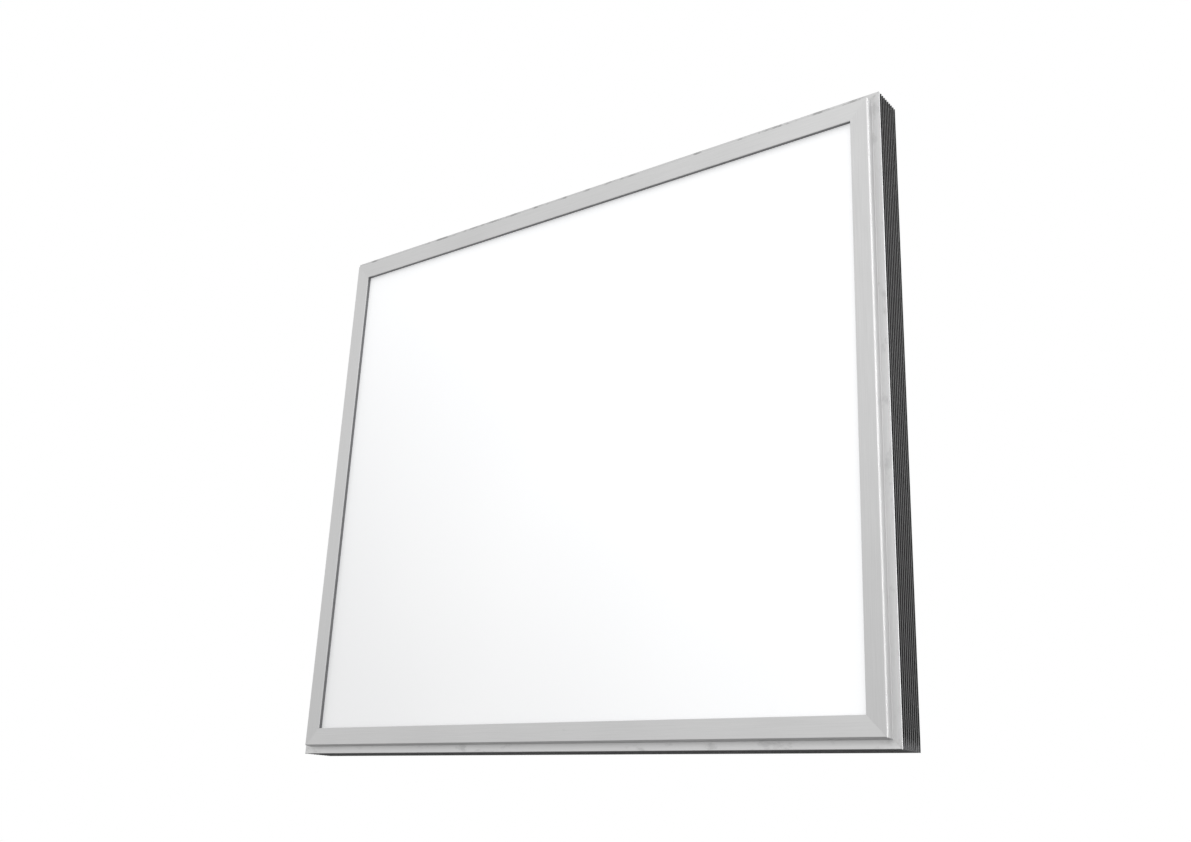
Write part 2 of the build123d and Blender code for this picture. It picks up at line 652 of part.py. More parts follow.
with BuildPart() as terminal_block:
    with BuildSketch(face_plane(TERMINAL_LEVEL)):
        with Locations((TERMINAL_X, DRIVER_Z)):
            Rectangle(TERMINAL_DEPTH, TERMINAL_POLES * TERMINAL_PITCH - 0.2)
    extrude(amount=TERMINAL_HEIGHT)
    with BuildSketch(Plane.YZ.offset(-DRIVER_LENGTH / 2)):
        with Locations((-ENTRY_LEVEL, DRIVER_Z)):
            with GridLocations(0, TERMINAL_PITCH, 1, TERMINAL_POLES):
                Circle(TERMINAL_ENTRY_RADIUS)
    extrude(amount=ENTRY_DEPTH, mode=Mode.SUBTRACT)
    with BuildSketch(face_plane(TERMINAL_LEVEL)):
        with Locations((TERMINAL_SCREW_X, DRIVER_Z)):
            with GridLocations(0, TERMINAL_PITCH, 1, TERMINAL_POLES):
                Circle(TERMINAL_SCREW_RADIUS)
    extrude(amount=TERMINAL_SCREW_HEIGHT, mode=Mode.SUBTRACT)
save(terminal_block, "terminal_block")

with BuildPart() as terminal_screws:
    with BuildSketch(face_plane(TERMINAL_LEVEL)):
        with Locations((TERMINAL_SCREW_X, DRIVER_Z)):
            with GridLocations(0, TERMINAL_PITCH, 1, TERMINAL_POLES):
                Circle(TERMINAL_SCREW_RADIUS)
                Rectangle(2 * TERMINAL_SCREW_RADIUS, 0.6, mode=Mode.SUBTRACT)
    extrude(amount=SOCKET_DEPTH)
    with BuildSketch(face_plane(TERMINAL_LEVEL + SOCKET_DEPTH)):
        with Locations((TERMINAL_SCREW_X, DRIVER_Z)):
            with GridLocations(0, TERMINAL_PITCH, 1, TERMINAL_POLES):
                Circle(TERMINAL_SCREW_RADIUS)
    extrude(amount=TERMINAL_SCREW_HEIGHT - SOCKET_DEPTH)
save(terminal_screws, "terminal_screws")

with BuildPart() as driver_screws:
    with BuildSketch(face_plane(DRIVER_FLOOR_LEVEL)):
        with Locations(*DRIVER_SCREW_PLACES):
            Circle(COVER_SCREW_RADIUS)
    extrude(amount=DRIVER_SHEET + PLATE_THICKNESS)
    with BuildSketch(face_plane(DRIVER_FLOOR_LEVEL - COUNTERSINK_HEIGHT)):
        with Locations(*DRIVER_SCREW_PLACES):
            Circle(COVER_SCREW_HEAD_RADIUS)
            RegularPolygon(COVER_SCREW_RADIUS, side_count=6, mode=Mode.SUBTRACT)
    extrude(amount=SOCKET_DEPTH)
    with BuildSketch(face_plane(DRIVER_FLOOR_LEVEL - COUNTERSINK_HEIGHT + SOCKET_DEPTH)):
        with Locations(*DRIVER_SCREW_PLACES):
            Circle(COVER_SCREW_HEAD_RADIUS)
    extrude(amount=COUNTERSINK_HEIGHT - SOCKET_DEPTH)
save(driver_screws, "driver_screws")


# Leads: straight runs with one tangent arc at each corner, as large as its runs allow
def at(x, level, z):
    """A point in the frame from its X, level and Z."""
    return Vector(x, -level, z)


def arc_radii(points, name):
    """The arc at each inner point of a route."""
    radii = []
    for before, corner, after in zip(points, points[1:], points[2:]):
        run_in = corner - before
        run_out = after - corner
        half_turn = radians(run_in.get_angle(run_out)) / 2
        radii.append(LEAD_ARC_SHARE * min(run_in.length, run_out.length) / tan(half_turn))
    print(name, "arc radii", [round(radius, 1) for radius in radii])
    return radii


def led_lead_route(sign, offset):
    """From the driver's outlet to the LED board at the top (sign 1) or the bottom (sign -1)."""
    outlet_z = DRIVER_Z + sign * OUTLET_OFFSET_Z + offset / 2
    edge_z = sign * (PANEL_HEIGHT / 2 - LEAD_INSET)
    crossing_x = LEAD_CROSSING_X + offset
    level = DRIVER_OUTLET_LEVEL + offset / 2
    near_z = edge_z - sign * 16
    middle_z = (outlet_z + near_z) / 2
    return [
        at(DRIVER_LENGTH / 2 - 20, DRIVER_BOARD_LEVEL - LEAD_RADIUS, outlet_z),
        at(DRIVER_LENGTH / 2 - 15, level, outlet_z),
        at(DRIVER_LENGTH / 2 + 28, level, outlet_z),
        at(LEAD_CROSSING_X - 66, level + 2, middle_z - sign * 22),
        at(LEAD_CROSSING_X - 12, level, near_z - sign * 22),
        at(crossing_x, level - 1, near_z),
        at(crossing_x, level + 2, edge_z),
        at(crossing_x, LEAD_END_LEVEL, edge_z),
    ]


for lead_name, offset in (("positive_leads", -LEAD_SPACING / 2), ("negative_leads", LEAD_SPACING / 2)):
    with BuildPart() as leads:
        for sign in (1, -1):
            points = led_lead_route(sign, offset)
            with BuildLine() as route:
                FilletPolyline(*points, radius=arc_radii(points, lead_name))
            with BuildSketch(Plane(origin=route.line @ 0, z_dir=route.line % 0)):
                Circle(LEAD_RADIUS)
            sweep()
            print(lead_name, "length", round(route.wire().length, 1))
    save(leads, lead_name)

# Earth point, on the back of the inner plate
LUG_LEVEL = PLATE_LEVEL - EARTH_LUG_THICKNESS
BARREL_LENGTH = 7.0
BARREL_RADIUS = 1.5
BARREL_BORE_DEPTH = 4.0
BARREL_BASE_Z = EARTH_Z + EARTH_LUG_RADIUS - 0.5
BARREL_Z = BARREL_BASE_Z + BARREL_LENGTH
BARREL_LEVEL = PLATE_LEVEL - BARREL_RADIUS - 0.1

with BuildPart() as earth_lug:
    with BuildSketch(face_plane(LUG_LEVEL)):
        with Locations((EARTH_X, EARTH_Z)):
            Circle(EARTH_LUG_RADIUS)
        with Locations((EARTH_X, BARREL_BASE_Z)):
            Rectangle(2 * BARREL_RADIUS, 2 * BARREL_RADIUS)
        with Locations((EARTH_X, EARTH_Z)):
            Circle(EARTH_SCREW_RADIUS, mode=Mode.SUBTRACT)
    extrude(amount=EARTH_LUG_THICKNESS)
    with BuildSketch(Plane.XY.offset(BARREL_BASE_Z)):
        with Locations((EARTH_X, -BARREL_LEVEL)):
            Circle(BARREL_RADIUS)
    extrude(amount=BARREL_LENGTH)
    with BuildSketch(Plane.XY.offset(BARREL_Z - BARREL_BORE_DEPTH)):
        with Locations((EARTH_X, -BARREL_LEVEL)):
            Circle(LEAD_RADIUS)
    extrude(amount=BARREL_BORE_DEPTH, mode=Mode.SUBTRACT)
save(earth_lug, "earth_lug")

with BuildPart() as earth_screw:
    with BuildSketch(face_plane(LUG_LEVEL)):
        with Locations((EARTH_X, EARTH_Z)):
            Circle(EARTH_SCREW_RADIUS)
    extrude(amount=EARTH_LUG_THICKNESS + PLATE_THICKNESS)
    with BuildSketch(face_plane(LUG_LEVEL - EARTH_HEAD_HEIGHT)):
        with Locations((EARTH_X, EARTH_Z)):
            Circle(EARTH_HEAD_RADIUS)
    extrude(amount=EARTH_HEAD_HEIGHT)
    with BuildSketch(face_plane(LUG_LEVEL - EARTH_HEAD_HEIGHT)):
        with Locations((EARTH_X, EARTH_Z)):
            RegularPolygon(EARTH_SCREW_RADIUS, side_count=6)
    extrude(amount=SOCKET_DEPTH, mode=Mode.SUBTRACT)
save(earth_screw, "earth_screw")

earth_pole_z = DRIVER_Z - TERMINAL_PITCH
earth_route = [
    at(-DRIVER_LENGTH / 2 + ENTRY_DEPTH - 1, ENTRY_LEVEL, earth_pole_z),
    at(-DRIVER_LENGTH / 2 - 14, ENTRY_LEVEL + 2, earth_pole_z - 1),
    at(EARTH_X, BARREL_LEVEL, BARREL_Z + 5),
    at(EARTH_X, BARREL_LEVEL, BARREL_Z - BARREL_BORE_DEPTH),
]

with BuildPart() as earth_lead:
    with BuildLine() as route:
        FilletPolyline(*earth_route, radius=arc_radii(earth_route, "earth_lead"))
    with BuildSketch(Plane(origin=route.line @ 0, z_dir=route.line % 0)):
        Circle(LEAD_RADIUS)
    sweep()
print("earth_lead length", round(route.wire().length, 1))
save(earth_lead, "earth_lead")

# Back cover, its gaskets and screws, the nuts it hangs from and the grommet for the supply cord
COVER_WIDTH = PANEL_WIDTH - 2 * COVER_INSET
COVER_HEIGHT = PANEL_HEIGHT - 2 * COVER_INSET

with BuildPart() as back_cover:
    with BuildSketch(face_plane(0)):
        RectangleRounded(COVER_WIDTH, COVER_HEIGHT, COVER_CORNER_RADIUS)
    extrude(amount=COVER_THICKNESS)
    for level, mode in ((COVER_THICKNESS, Mode.ADD), (0, Mode.SUBTRACT)):
        with BuildSketch(face_plane(level)):
            with GridLocations(0, PANEL_HEIGHT - 2 * BEAD_INSET, 1, 2):
                SlotOverall(LONG_BEAD, BEAD_WIDTH)
            with GridLocations(PANEL_WIDTH - 2 * BEAD_INSET, 0, 2, 1):
                SlotOverall(SHORT_BEAD, BEAD_WIDTH, rotation=90)
        extrude(amount=BEAD_DEPTH, taper=45, mode=mode)
    with Locations(back_plane()):
        with Locations(*COVER_SCREW_PLACES):
            CounterSinkHole(
                radius=COVER_SCREW_RADIUS,
                counter_sink_radius=COVER_SCREW_HEAD_RADIUS,
                depth=COVER_THICKNESS,
                counter_sink_angle=90,
            )
        with GridLocations(MOUNT_SPACING_X, MOUNT_SPACING_Z, 2, 2):
            Hole(radius=MOUNT_COLLAR_RADIUS, depth=COVER_THICKNESS)
        with Locations((-INLET_X, INLET_Z)):
            CounterBoreHole(
                radius=INLET_NECK_RADIUS,
                counter_bore_radius=INLET_FLANGE_RADIUS,
                counter_bore_depth=INLET_RECESS_DEPTH,
                depth=COVER_THICKNESS,
            )
save(back_cover, "back_cover")

with BuildPart() as cover_gaskets:
    with BuildSketch(face_plane(COVER_THICKNESS)):
        for side_name in INWARD:
            strip_width = GASKET_INSETS[1] - GASKET_INSETS[0]
            across = (GASKET_INSETS[0] + GASKET_INSETS[1]) / 2
            if side_name in ("top", "bottom"):
                strip_size = (PANEL_WIDTH - 2 * GASKET_INSETS[0], strip_width)
                strip_place = (0, INWARD[side_name].Z * (across - PANEL_HEIGHT / 2))
            else:
                strip_size = (strip_width, PANEL_HEIGHT - 2 * GASKET_INSETS[1] - MITRE_GAP)
                strip_place = (INWARD[side_name].X * (across - PANEL_WIDTH / 2), 0)
            with Locations(strip_place):
                Rectangle(*strip_size)
        with Locations(*COVER_SCREW_PLACES):
            Circle(COVER_SCREW_RADIUS, mode=Mode.SUBTRACT)
    extrude(amount=FLANGE_LEVEL - COVER_THICKNESS)
save(cover_gaskets, "cover_gaskets")

with BuildPart() as cover_screws:
    with BuildSketch(face_plane(0)):
        with Locations(*COVER_SCREW_PLACES):
            Circle(COVER_SCREW_HEAD_RADIUS)
    extrude(amount=COVER_SCREW_HEAD_RADIUS - COVER_SCREW_RADIUS, taper=45)
    with BuildSketch(face_plane(0)):
        with Locations(*COVER_SCREW_PLACES):
            Circle(COVER_SCREW_RADIUS)
    extrude(amount=COVER_SCREW_END_LEVEL)
    with BuildSketch(face_plane(0)):
        with Locations(*COVER_SCREW_PLACES):
            RegularPolygon(COVER_SCREW_RADIUS * 0.8, side_count=6)
    extrude(amount=SOCKET_DEPTH, mode=Mode.SUBTRACT)
save(cover_screws, "cover_screws")

with BuildPart() as mounting_nuts:
    with BuildSketch(face_plane(0)):
        with GridLocations(MOUNT_SPACING_X, MOUNT_SPACING_Z, 2, 2):
            Circle(MOUNT_COLLAR_RADIUS)
    extrude(amount=COVER_THICKNESS)
    with BuildSketch(face_plane(COVER_THICKNESS)):
        with GridLocations(MOUNT_SPACING_X, MOUNT_SPACING_Z, 2, 2):
            RegularPolygon(MOUNT_NUT_RADIUS, side_count=6)
    extrude(amount=MOUNT_NUT_HEIGHT)
    with Locations(back_plane()):
        with GridLocations(MOUNT_SPACING_X, MOUNT_SPACING_Z, 2, 2):
            Hole(radius=MOUNT_THREAD_RADIUS, depth=COVER_THICKNESS + MOUNT_NUT_HEIGHT)
save(mounting_nuts, "mounting_nuts")

with BuildPart() as inlet_grommet:
    with BuildSketch(Plane(origin=(INLET_X, 0, INLET_Z), x_dir=(1, 0, 0), z_dir=(0, 0, 1))):
        with BuildLine():
            Polyline(
                (INLET_BORE_RADIUS, 0),
                (INLET_FLANGE_RADIUS, 0),
                (INLET_FLANGE_RADIUS, -INLET_RECESS_DEPTH),
                (INLET_NECK_RADIUS, -INLET_RECESS_DEPTH),
                (INLET_NECK_RADIUS, -COVER_THICKNESS),
                (INLET_FLANGE_RADIUS, -COVER_THICKNESS),
                (INLET_FLANGE_RADIUS, -INLET_INNER_LEVEL),
                (INLET_BORE_RADIUS, -INLET_INNER_LEVEL),
                close=True,
            )
        make_face()
    revolve(axis=Axis((INLET_X, 0, INLET_Z), (0, 1, 0)))
save(inlet_grommet, "inlet_grommet")
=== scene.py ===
from math import pi, radians

import bpy
from mathutils import Euler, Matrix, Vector


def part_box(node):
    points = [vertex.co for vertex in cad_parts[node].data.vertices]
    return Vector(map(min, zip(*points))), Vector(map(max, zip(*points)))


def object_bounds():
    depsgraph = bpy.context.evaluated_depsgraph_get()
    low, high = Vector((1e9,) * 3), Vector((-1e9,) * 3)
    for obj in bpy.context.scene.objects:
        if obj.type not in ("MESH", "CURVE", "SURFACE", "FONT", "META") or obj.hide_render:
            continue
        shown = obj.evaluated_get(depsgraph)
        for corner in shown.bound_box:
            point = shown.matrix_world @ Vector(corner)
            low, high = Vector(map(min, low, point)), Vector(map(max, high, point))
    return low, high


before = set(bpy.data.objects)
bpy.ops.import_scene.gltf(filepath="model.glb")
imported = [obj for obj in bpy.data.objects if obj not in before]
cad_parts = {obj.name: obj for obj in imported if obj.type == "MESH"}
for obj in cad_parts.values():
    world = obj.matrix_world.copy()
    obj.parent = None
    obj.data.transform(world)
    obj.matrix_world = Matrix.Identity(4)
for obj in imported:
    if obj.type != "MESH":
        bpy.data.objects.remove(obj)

cad_low, cad_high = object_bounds()

# ---------------------------------------------------------------------------------------------
# Sizes, in metres. The outer ones are read from the frame.
# ---------------------------------------------------------------------------------------------
HALF_WIDTH = cad_high.x
HALF_HEIGHT = cad_high.z
COVER_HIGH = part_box("back_cover")[1]

# The bezel: its flat lip, how far in from the panel's edge its riser reaches, and the width over which
# the riser's tone gives way to the face's
LIP_WIDTH = 0.0064
RISER_INSET = 0.0076
RISER_BLEND = 0.0003

# How far in from an edge each mark begins, and how far in it is full
# Painted shade that darkens the bezel's outer edge to dull its highlight
EDGE_HIGHLIGHT_DULLING = (0.0003, 0.0001)
RUBBED_CREST = (0.0006, 0.0001)
# The painted highlight where the rib ends catch light
END_HIGHLIGHT = (0.010, 0.001)
# The back cover darkens towards its border over this depth
DARKER_BORDER = (0.016, 0.0)

# Camera: below and to the right of the panel, looking up at it
CAMERA_PLACE = Vector((0.646, -0.833, -0.3185))
CAMERA_HEADING = radians(37.57)
CAMERA_RISE = radians(18.6)
CAMERA_ROLL = radians(2.53)
CAMERA_LENS = 37.6

FLOOR_LEVEL = -0.80
FLOOR_HALF = 3.0

# The grain's scale along a rail, against 1 across it, which draws it out into fine lines
GRAIN_STRETCH = 0.02

# A Mix node's sockets when it mixes colours
MIX_FACTOR, MIX_A, MIX_B, MIX_RESULT = 0, 6, 7, 2


def grey(level):
    return (level, level, level, 1)


# ---------------------------------------------------------------------------------------------
# Node helpers
# ---------------------------------------------------------------------------------------------
class Tree:
    """A node tree, with short calls that add its nodes. Inputs are values, or outputs of other nodes."""

    def __init__(self, tree):
        self.nodes = tree.nodes
        self.links = tree.links

    def feed(self, socket, value):
        """Link the socket to another node's output, or set it to a value."""
        if isinstance(value, bpy.types.NodeSocket):
            self.links.new(value, socket)
        else:
            socket.default_value = value

    def add(self, kind, inputs=None, **settings):
        node = self.nodes.new(kind)
        for key, value in settings.items():
            setattr(node, key, value)
        for key, value in (inputs or {}).items():
            self.feed(node.inputs[key], value)
        return node

    def ramp(self, fac, stops):
        """A colour ramp with (place, colour) stops. A plain number is a grey."""
        node = self.add("ShaderNodeValToRGB", {"Fac": fac})
        elements = node.color_ramp.elements
        while len(elements) < len(stops):
            elements.new(0.5)
        for element, (place, colour) in zip(elements, stops):
            element.position = place
            element.color = grey(colour) if isinstance(colour, float) else (*colour, 1)
        return node.outputs["Color"]

    def between(self, value, low, high, out_low=0.0, out_high=1.0, easing="SMOOTHSTEP"):
        """A number carried from one range to another, smoothly by default, and held at both ends."""
        inputs = {"Value": value, "From Min": low, "From Max": high, "To Min": out_low, "To Max": out_high}
        return self.add("ShaderNodeMapRange", inputs, interpolation_type=easing).outputs["Result"]

    def math(self, operation, *values):
        return self.add("ShaderNodeMath", dict(enumerate(values)), operation=operation).outputs["Value"]

    def mix(self, factor, a, b, blend="MIX"):
        inputs = {MIX_FACTOR: factor, MIX_A: a, MIX_B: b}
        return self.add("ShaderNodeMix", inputs, data_type="RGBA", blend_type=blend).outputs[MIX_RESULT]


class Shader(Tree):
    """A new material's node tree, with its Principled shader. Patterns are fixed to the object."""

    def __init__(self, name, **sockets):
        self.material = bpy.data.materials.new(name)
        self.material.use_nodes = True
        super().__init__(self.material.node_tree)
        self.principled = self.nodes["Principled BSDF"]
        for socket, value in sockets.items():
            self.principled.inputs[socket.replace("_", " ")].default_value = value

    def set(self, socket, output):
        self.links.new(output, self.principled.inputs[socket])

    def place(self):
        """The point on the object, in metres."""
        return self.add("ShaderNodeTexCoord").outputs["Object"]

    def stretched(self, scale):
        """The point on the object, scaled along each axis."""
        return self.add("ShaderNodeMapping", {"Vector": self.place(), "Scale": scale}).outputs["Vector"]

    def axes(self):
        """The point's X, Y and Z, each as a number."""
        return self.add("ShaderNodeSeparateXYZ", {"Vector": self.place()}).outputs

    def noise(self, vector, scale, detail=4.0, roughness=0.55):
        inputs = {"Vector": vector, "Scale": scale, "Detail": detail, "Roughness": roughness}
        return self.add("ShaderNodeTexNoise", inputs).outputs["Fac"]

    def bump(self, height, strength, distance):
        inputs = {"Height": height, "Strength": strength, "Distance": distance}
        self.set("Normal", self.add("ShaderNodeBump", inputs).outputs["Normal"])


def drawn(along, scale):
    """Pattern scales for a rail that runs along X or Z: that axis has its own, and the others have 1."""
    return (scale, 1.0, 1.0) if along == "X" else (1.0, 1.0, scale)


def dress(material, *names):
    """Give CAD nodes a material in place of the plain one that they were packed with."""
    for name in names:
        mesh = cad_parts[name].data
        mesh.materials.clear()
        mesh.materials.append(material)


# ---------------------------------------------------------------------------------------------
# Materials
# ---------------------------------------------------------------------------------------------
def silver(name, along, lip_light_and_shade, lip_smears, riser_highlight_gain):
    """Satin anodised aluminium, drawn along one axis and smudged by handling, with its outer edge darkened as
    painted shade to dull its highlight.

    The lip is darkened towards the riser as painted shade. Its first pair of factors brightens or darkens the
    lip as painted light and shade, and its smears spread and darken the smudges, each given for the panel's
    bottom and for its top.
    Its last factor lightens the riser as a painted highlight.
    """
    shader = Shader(name, Metallic=1.0)
    grain = shader.noise(shader.stretched(drawn(along, GRAIN_STRETCH)), 1400.0, detail=3.0)
    cloud = shader.noise(shader.place(), 9.0, detail=3.0)
    base = shader.ramp(grain, [(0.3, 0.745), (0.7, 0.81)])
    clean = shader.mix(1.0, base, shader.ramp(cloud, [(0.3, 0.955), (0.7, 1.0)]), "MULTIPLY")

    axes = shader.axes()
    across = shader.math("ABSOLUTE", axes["Z"] if along == "X" else axes["X"])
    edge = HALF_HEIGHT if along == "X" else HALF_WIDTH
    on_lip = shader.between(across, edge - LIP_WIDTH * 1.1, edge - LIP_WIDTH * 0.9)
    # Painted light and shade: the lip is lightened low down and darkened high up
    painted_lip_light = shader.between(axes["Z"], -HALF_HEIGHT, HALF_HEIGHT, *lip_light_and_shade)
    # Painted shade: the lip darkens towards the riser's foot
    painted_lip_light = shader.math("MULTIPLY", painted_lip_light, shader.between(across, edge - LIP_WIDTH, edge, 0.92, 1.06))
    with_painted_light = shader.mix(on_lip, clean, shader.mix(1.0, clean, painted_lip_light, "MULTIPLY"))
    # Painted highlight: the riser is lightened by its factor
    outside_face = shader.between(across, edge - RISER_INSET - RISER_BLEND, edge - RISER_INSET)
    on_riser = shader.math("SUBTRACT", outside_face, on_lip)
    with_painted_light = shader.mix(on_riser, with_painted_light, shader.mix(1.0, with_painted_light, grey(riser_highlight_gain), "MULTIPLY"))

    smudge = shader.noise(shader.stretched(drawn(along, 0.55)), 90.0, detail=5.0, roughness=0.6)
    smear = shader.between(axes["Z"], -HALF_HEIGHT, HALF_HEIGHT, *lip_smears)
    spread = shader.math("ADD", smudge, shader.math("MULTIPLY", on_lip, smear))
    darkness = shader.between(smear, 0.14, 0.20, 0.25, 0.65)
    dirty = shader.mix(darkness, with_painted_light, grey(0.30))
    surface = shader.mix(shader.between(spread, 0.69, 0.83), with_painted_light, dirty)
    # Painted shade: the outer edge is darkened to dull its highlight
    dulled_edge = shader.between(across, *(edge - depth for depth in EDGE_HIGHLIGHT_DULLING))
    shader.set("Base Color", shader.mix(dulled_edge, surface, (0.40, 0.40, 0.405, 1)))
    shader.set("Roughness", shader.between(grain, 0.3, 0.7, 0.40, 0.50))
    shader.bump(grain, 0.12, 0.0002)
    return shader.material


def graphite(name, along, tone_with_painted_light):
    """Dark anodised heat sink, drawn along one axis.

    Its rib crests are rubbed lighter. That lightening fades towards the top as painted shade, and a painted
    highlight adds to it where X rails end on the right and Z rails end at the bottom.
    """
    shader = Shader(name, Metallic=0.0, Specular_IOR_Level=0.2)
    grain = shader.noise(shader.stretched(drawn(along, GRAIN_STRETCH)), 1100.0, detail=3.0)
    speckle = shader.noise(shader.place(), 380.0, detail=4.0)
    axes = shader.axes()
    across = shader.math("ABSOLUTE", axes["Z"] if along == "X" else axes["X"])
    edge = HALF_HEIGHT if along == "X" else HALF_WIDTH
    crest = shader.between(across, *(edge - depth for depth in RUBBED_CREST))
    # Painted shade: the crests' lightening fades towards the top
    painted_top_shade = shader.between(axes["Z"], -HALF_HEIGHT, HALF_HEIGHT, 1.0, 0.55)
    lengthwise = axes["X"] if along == "X" else shader.math("MULTIPLY", axes["Z"], -1.0)
    end = HALF_WIDTH if along == "X" else HALF_HEIGHT
    # Painted highlight where the rib ends catch light
    end_highlight = shader.between(lengthwise, *(end - depth for depth in END_HIGHLIGHT))

    base = shader.ramp(grain, [(0.3, tone_with_painted_light * 0.75), (0.7, tone_with_painted_light * 1.25)])
    bare = (tone_with_painted_light * 2.6, tone_with_painted_light * 2.6, tone_with_painted_light * 2.65, 1)
    rubbed = shader.mix(shader.between(speckle, 0.35, 0.7), base, bare)
    rubbed_and_end_highlight = shader.mix(end_highlight, rubbed, (0.16, 0.16, 0.165, 1))
    shader.set("Base Color", shader.mix(shader.math("MULTIPLY", crest, painted_top_shade), base, rubbed_and_end_highlight))
    shader.set("Roughness", shader.between(speckle, 0.3, 0.7, 0.42, 0.58))
    shader.bump(grain, 0.15, 0.0003)
    return shader.material


def opal():
    """Opal acrylic, lit faintly from behind, its glow dimmed towards its lower left corner as painted shade.
    """
    shader = Shader("opal_acrylic", Roughness=0.38, Specular_IOR_Level=0.35)
    shader.principled.inputs["Emission Color"].default_value = (0.985, 0.992, 1.0, 1)
    cloud = shader.noise(shader.place(), 3.0, detail=2.0)
    shader.set("Base Color", shader.ramp(cloud, [(0.3, (0.86, 0.865, 0.875)), (0.7, (0.90, 0.902, 0.905))]))
    axes = shader.axes()
    # Painted shade: the glow dims towards the lower left
    to_upper_right = shader.math("ADD", axes["X"], shader.math("MULTIPLY", axes["Z"], 1.1))
    shader.set("Emission Strength", shader.between(to_upper_right, -0.62, 0.12, 0.208, 0.40))
    frost = shader.noise(shader.place(), 2600.0, detail=2.0)
    shader.bump(frost, 0.06, 0.0001)
    return shader.material


def powder_coat():
    """Pale powder coat with orange peel and flecks, scuffed here and there, and darker towards its border."""
    shader = Shader("powder_coat", Specular_IOR_Level=0.4)
    peel = shader.noise(shader.place(), 620.0, detail=2.0)
    fleck = shader.noise(shader.place(), 260.0, detail=2.0)
    dust = shader.noise(shader.place(), 8.0, detail=5.0, roughness=0.6)
    streak = shader.noise(shader.stretched(drawn("Z", 0.12)), 48.0, detail=6.0, roughness=0.65)
    axes = shader.axes()
    past_side = shader.math("SUBTRACT", shader.math("ABSOLUTE", axes["X"]), COVER_HIGH.x)
    past_top = shader.math("SUBTRACT", shader.math("ABSOLUTE", axes["Z"]), COVER_HIGH.z)
    past_edge = shader.math("MAXIMUM", past_side, past_top)
    border = shader.between(past_edge, *(-depth for depth in DARKER_BORDER))

    base = shader.ramp(dust, [(0.3, (0.53, 0.54, 0.55)), (0.7, (0.60, 0.61, 0.62))])
    flecked = shader.mix(shader.between(fleck, 0.54, 0.70, 0.0, 0.3), base, (0.40, 0.41, 0.42, 1))
    scuffed = shader.mix(shader.between(streak, 0.68, 0.80, 0.0, 0.4), flecked, (0.36, 0.36, 0.37, 1))
    # Darker towards the cover's border, mottled by the dust pattern
    border_darkening = shader.math("MULTIPLY", border, shader.between(dust, 0.35, 0.65, 0.15, 0.5))
    shader.set("Base Color", shader.mix(border_darkening, scuffed, (0.30, 0.295, 0.285, 1)))
    shader.set("Roughness", shader.between(dust, 0.3, 0.7, 0.46, 0.62))
    shader.bump(peel, 0.35, 0.0003)
    return shader.material


def plain(name, colour, roughness, metallic=0.0, variation=0.12, scale=60.0, peel=900.0, depth=0.1):
    """A finish with mottled colour, uneven gloss and a fine surface texture."""
    shader = Shader(name, Metallic=metallic)
    mottle = shader.noise(shader.place(), scale, detail=4.0)
    dark = tuple(channel * (1 - variation) for channel in colour)
    light = tuple(min(channel * (1 + variation), 1.0) for channel in colour)
    shader.set("Base Color", shader.ramp(mottle, [(0.3, dark), (0.7, light)]))
    shader.set("Roughness", shader.between(mottle, 0.3, 0.7, roughness * 0.88, min(roughness * 1.12, 1.0)))
    shader.bump(shader.noise(shader.place(), peel, detail=3.0), depth, 0.0003)
    return shader.material


# The two silver copies differ in painted light: the lip's factors by height, and the Z rails' lighter riser
dress(silver("silver_along_x", "X", lip_light_and_shade=(1.15, 0.88), lip_smears=(0.14, 0.20), riser_highlight_gain=1.0),
      "bezel_top", "bezel_bottom")
dress(silver("silver_along_z", "Z", lip_light_and_shade=(1.06, 0.88), lip_smears=(0.15, 0.15), riser_highlight_gain=1.12),
      "bezel_left", "bezel_right")
# Painted light and shade: the X rails' graphite is lighter and the Z rails' darker, copies of one finish
dress(graphite("graphite_along_x", "X", 0.060), "side_rail_top", "side_rail_bottom")
dress(graphite("graphite_along_z", "Z", 0.021), "side_rail_left", "side_rail_right")
dress(opal(), "diffuser")
dress(powder_coat(), "back_cover")
dress(plain("zinc_plate", (0.50, 0.50, 0.485), 0.50, metallic=1.0, scale=300.0),
      "mounting_nuts", "bezel_screws", "corner_grub_screws", "driver_screws",
      "terminal_screws", "earth_screw")
dress(plain("black_zinc_plate", (0.16, 0.16, 0.165), 0.36, metallic=1.0, scale=300.0), "cover_screws")
# The seals' dark grey darkens the line along the diffuser's edge: partly their own colour, partly painted
# shade
dress(plain("grey_rubber", (0.20, 0.20, 0.205), 0.70, variation=0.15, scale=240.0), "diffuser_seals")
dress(plain("black_rubber", (0.035, 0.035, 0.036), 0.62, scale=200.0), "inlet_grommet", "cover_gaskets")
dress(plain("galvanised_sheet", (0.58, 0.59, 0.60), 0.42, metallic=1.0, scale=110.0),
      "inner_plate", "driver_tray", "driver_lid", "bezel_corner_plates")
dress(plain("cast_metal", (0.40, 0.41, 0.42), 0.55, metallic=1.0, scale=500.0), "rail_corner_keys")
dress(plain("clear_acrylic", (0.86, 0.90, 0.92), 0.10), "light_guide")
dress(plain("white_film", (0.90, 0.90, 0.90), 0.45), "reflector_sheet", "edge_tapes")
dress(plain("white_foam", (0.85, 0.85, 0.82), 0.90, peel=350.0, depth=0.5), "foam_pad")
dress(plain("white_solder_mask", (0.84, 0.84, 0.80), 0.35), "led_board_top", "led_board_bottom")
dress(plain("led_phosphor", (0.88, 0.72, 0.18), 0.30), "led_chips")
dress(plain("thermal_pad", (0.62, 0.62, 0.60), 0.80), "thermal_tapes")
dress(plain("green_solder_mask", (0.03, 0.20, 0.09), 0.30), "driver_board")
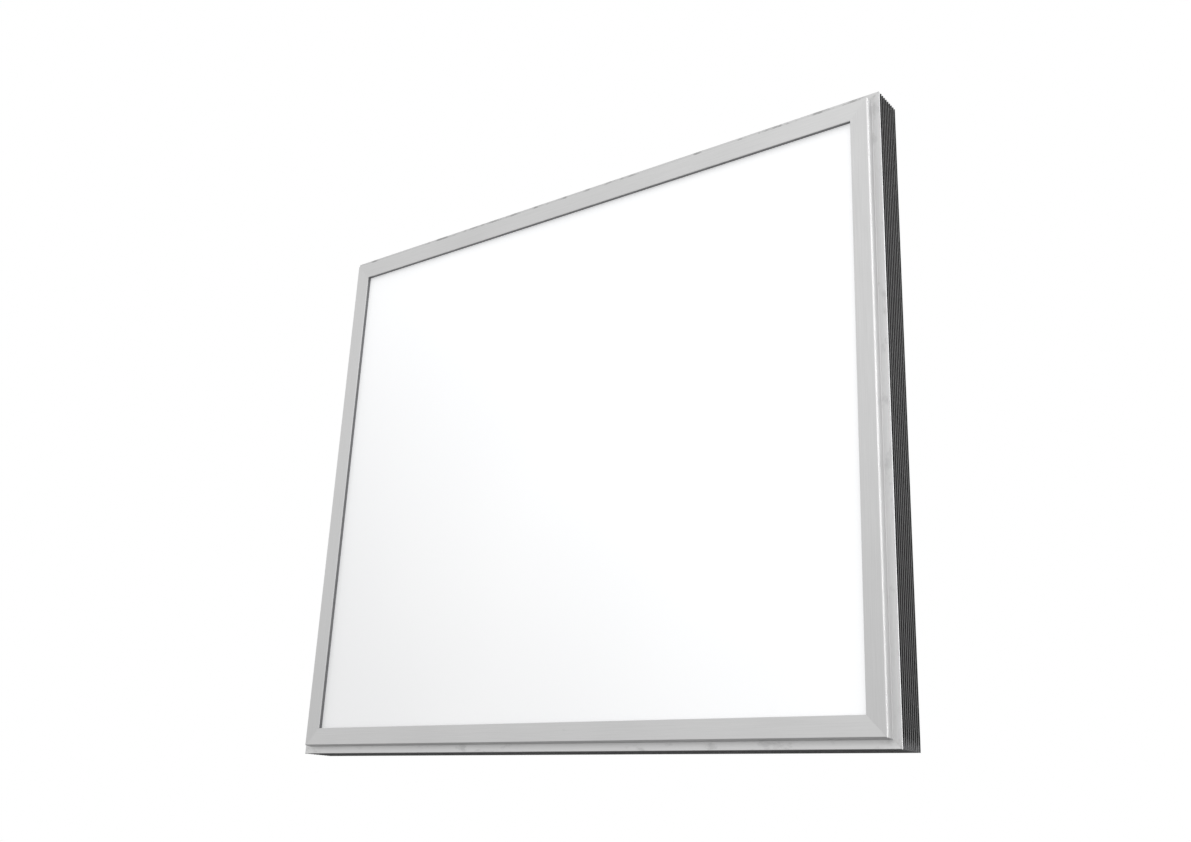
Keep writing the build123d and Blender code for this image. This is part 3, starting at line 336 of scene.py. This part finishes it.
dress(plain("winding_tape", (0.62, 0.48, 0.10), 0.50), "transformer")
dress(plain("capacitor_sleeve", (0.03, 0.035, 0.07), 0.30), "capacitors")
dress(plain("coated_core", (0.12, 0.14, 0.12), 0.55), "line_choke")
dress(plain("terminal_plastic", (0.05, 0.20, 0.09), 0.45), "terminal_block")
dress(plain("red_insulation", (0.50, 0.02, 0.015), 0.40), "positive_leads")
dress(plain("black_insulation", (0.02, 0.02, 0.02), 0.40), "negative_leads")
dress(plain("green_insulation", (0.16, 0.42, 0.04), 0.40), "earth_lead")
dress(plain("tinned_copper", (0.72, 0.72, 0.70), 0.28, metallic=1.0, scale=300.0), "earth_lug")


# ---------------------------------------------------------------------------------------------
# Stage, light and camera
# ---------------------------------------------------------------------------------------------
def make_floor():
    """A pale floor well below the panel. It takes light and shadow, and throws none back at the object."""
    mesh = bpy.data.meshes.new("floor")
    corners = [(x * FLOOR_HALF, y * FLOOR_HALF, FLOOR_LEVEL) for x, y in ((-1, -1), (1, -1), (1, 1), (-1, 1))]
    mesh.from_pydata(corners, [], [(0, 1, 2, 3)])
    floor = bpy.data.objects.new("floor", mesh)
    bpy.context.scene.collection.objects.link(floor)
    mesh.materials.append(plain("pale_floor", (0.80, 0.80, 0.80), 0.8, variation=0.02, scale=3.0, peel=80.0))
    floor.visible_diffuse = False
    floor.visible_glossy = False


def make_light(name, place, target, width, height, power):
    """A softbox that faces a target."""
    data = bpy.data.lights.new(name, "AREA")
    data.shape = "RECTANGLE"
    data.size = width
    data.size_y = height
    data.energy = power
    light = bpy.data.objects.new(name, data)
    light.location = place
    light.rotation_euler = (Vector(target) - Vector(place)).to_track_quat("-Z", "Y").to_euler()
    bpy.context.scene.collection.objects.link(light)


def make_world():
    """A white surround: full white behind the object, and dimmer towards the ground as a light source."""
    world = bpy.data.worlds.new("studio")
    bpy.context.scene.world = world
    world.use_nodes = True
    tree = Tree(world.node_tree)
    direction = tree.add("ShaderNodeTexCoord").outputs["Generated"]
    up = tree.add("ShaderNodeSeparateXYZ", {"Vector": direction}).outputs["Z"]
    height = tree.between(up, -1.0, 1.0, easing="LINEAR")
    light = tree.ramp(height, [(0.0, 0.24), (0.40, 0.39), (0.54, 0.80), (1.0, 0.85)])
    seen = tree.add("ShaderNodeLightPath").outputs["Is Camera Ray"]
    tree.feed(tree.nodes["Background"].inputs["Color"], tree.mix(seen, light, grey(1.0)))


def make_camera():
    data = bpy.data.cameras.new("camera")
    data.lens = CAMERA_LENS
    camera = bpy.data.objects.new("camera", data)
    camera.location = CAMERA_PLACE
    turn = Euler((pi / 2 + CAMERA_RISE, 0, CAMERA_HEADING)).to_matrix()
    roll = Euler((0, 0, CAMERA_ROLL)).to_matrix()
    camera.rotation_euler = (turn @ roll).to_euler()
    bpy.context.scene.collection.objects.link(camera)
    bpy.context.scene.camera = camera


make_floor()
make_world()
make_light("key", place=(0.9, -1.5, 1.1), target=(0.1, 0, 0), width=2.4, height=2.4, power=9.0)
make_light("rim", place=(2.0, 2.3, 0.7), target=(0.29, 0, 0), width=2.4, height=2.8, power=62.0)
make_camera()
bpy.context.scene.view_settings.view_transform = "Standard"
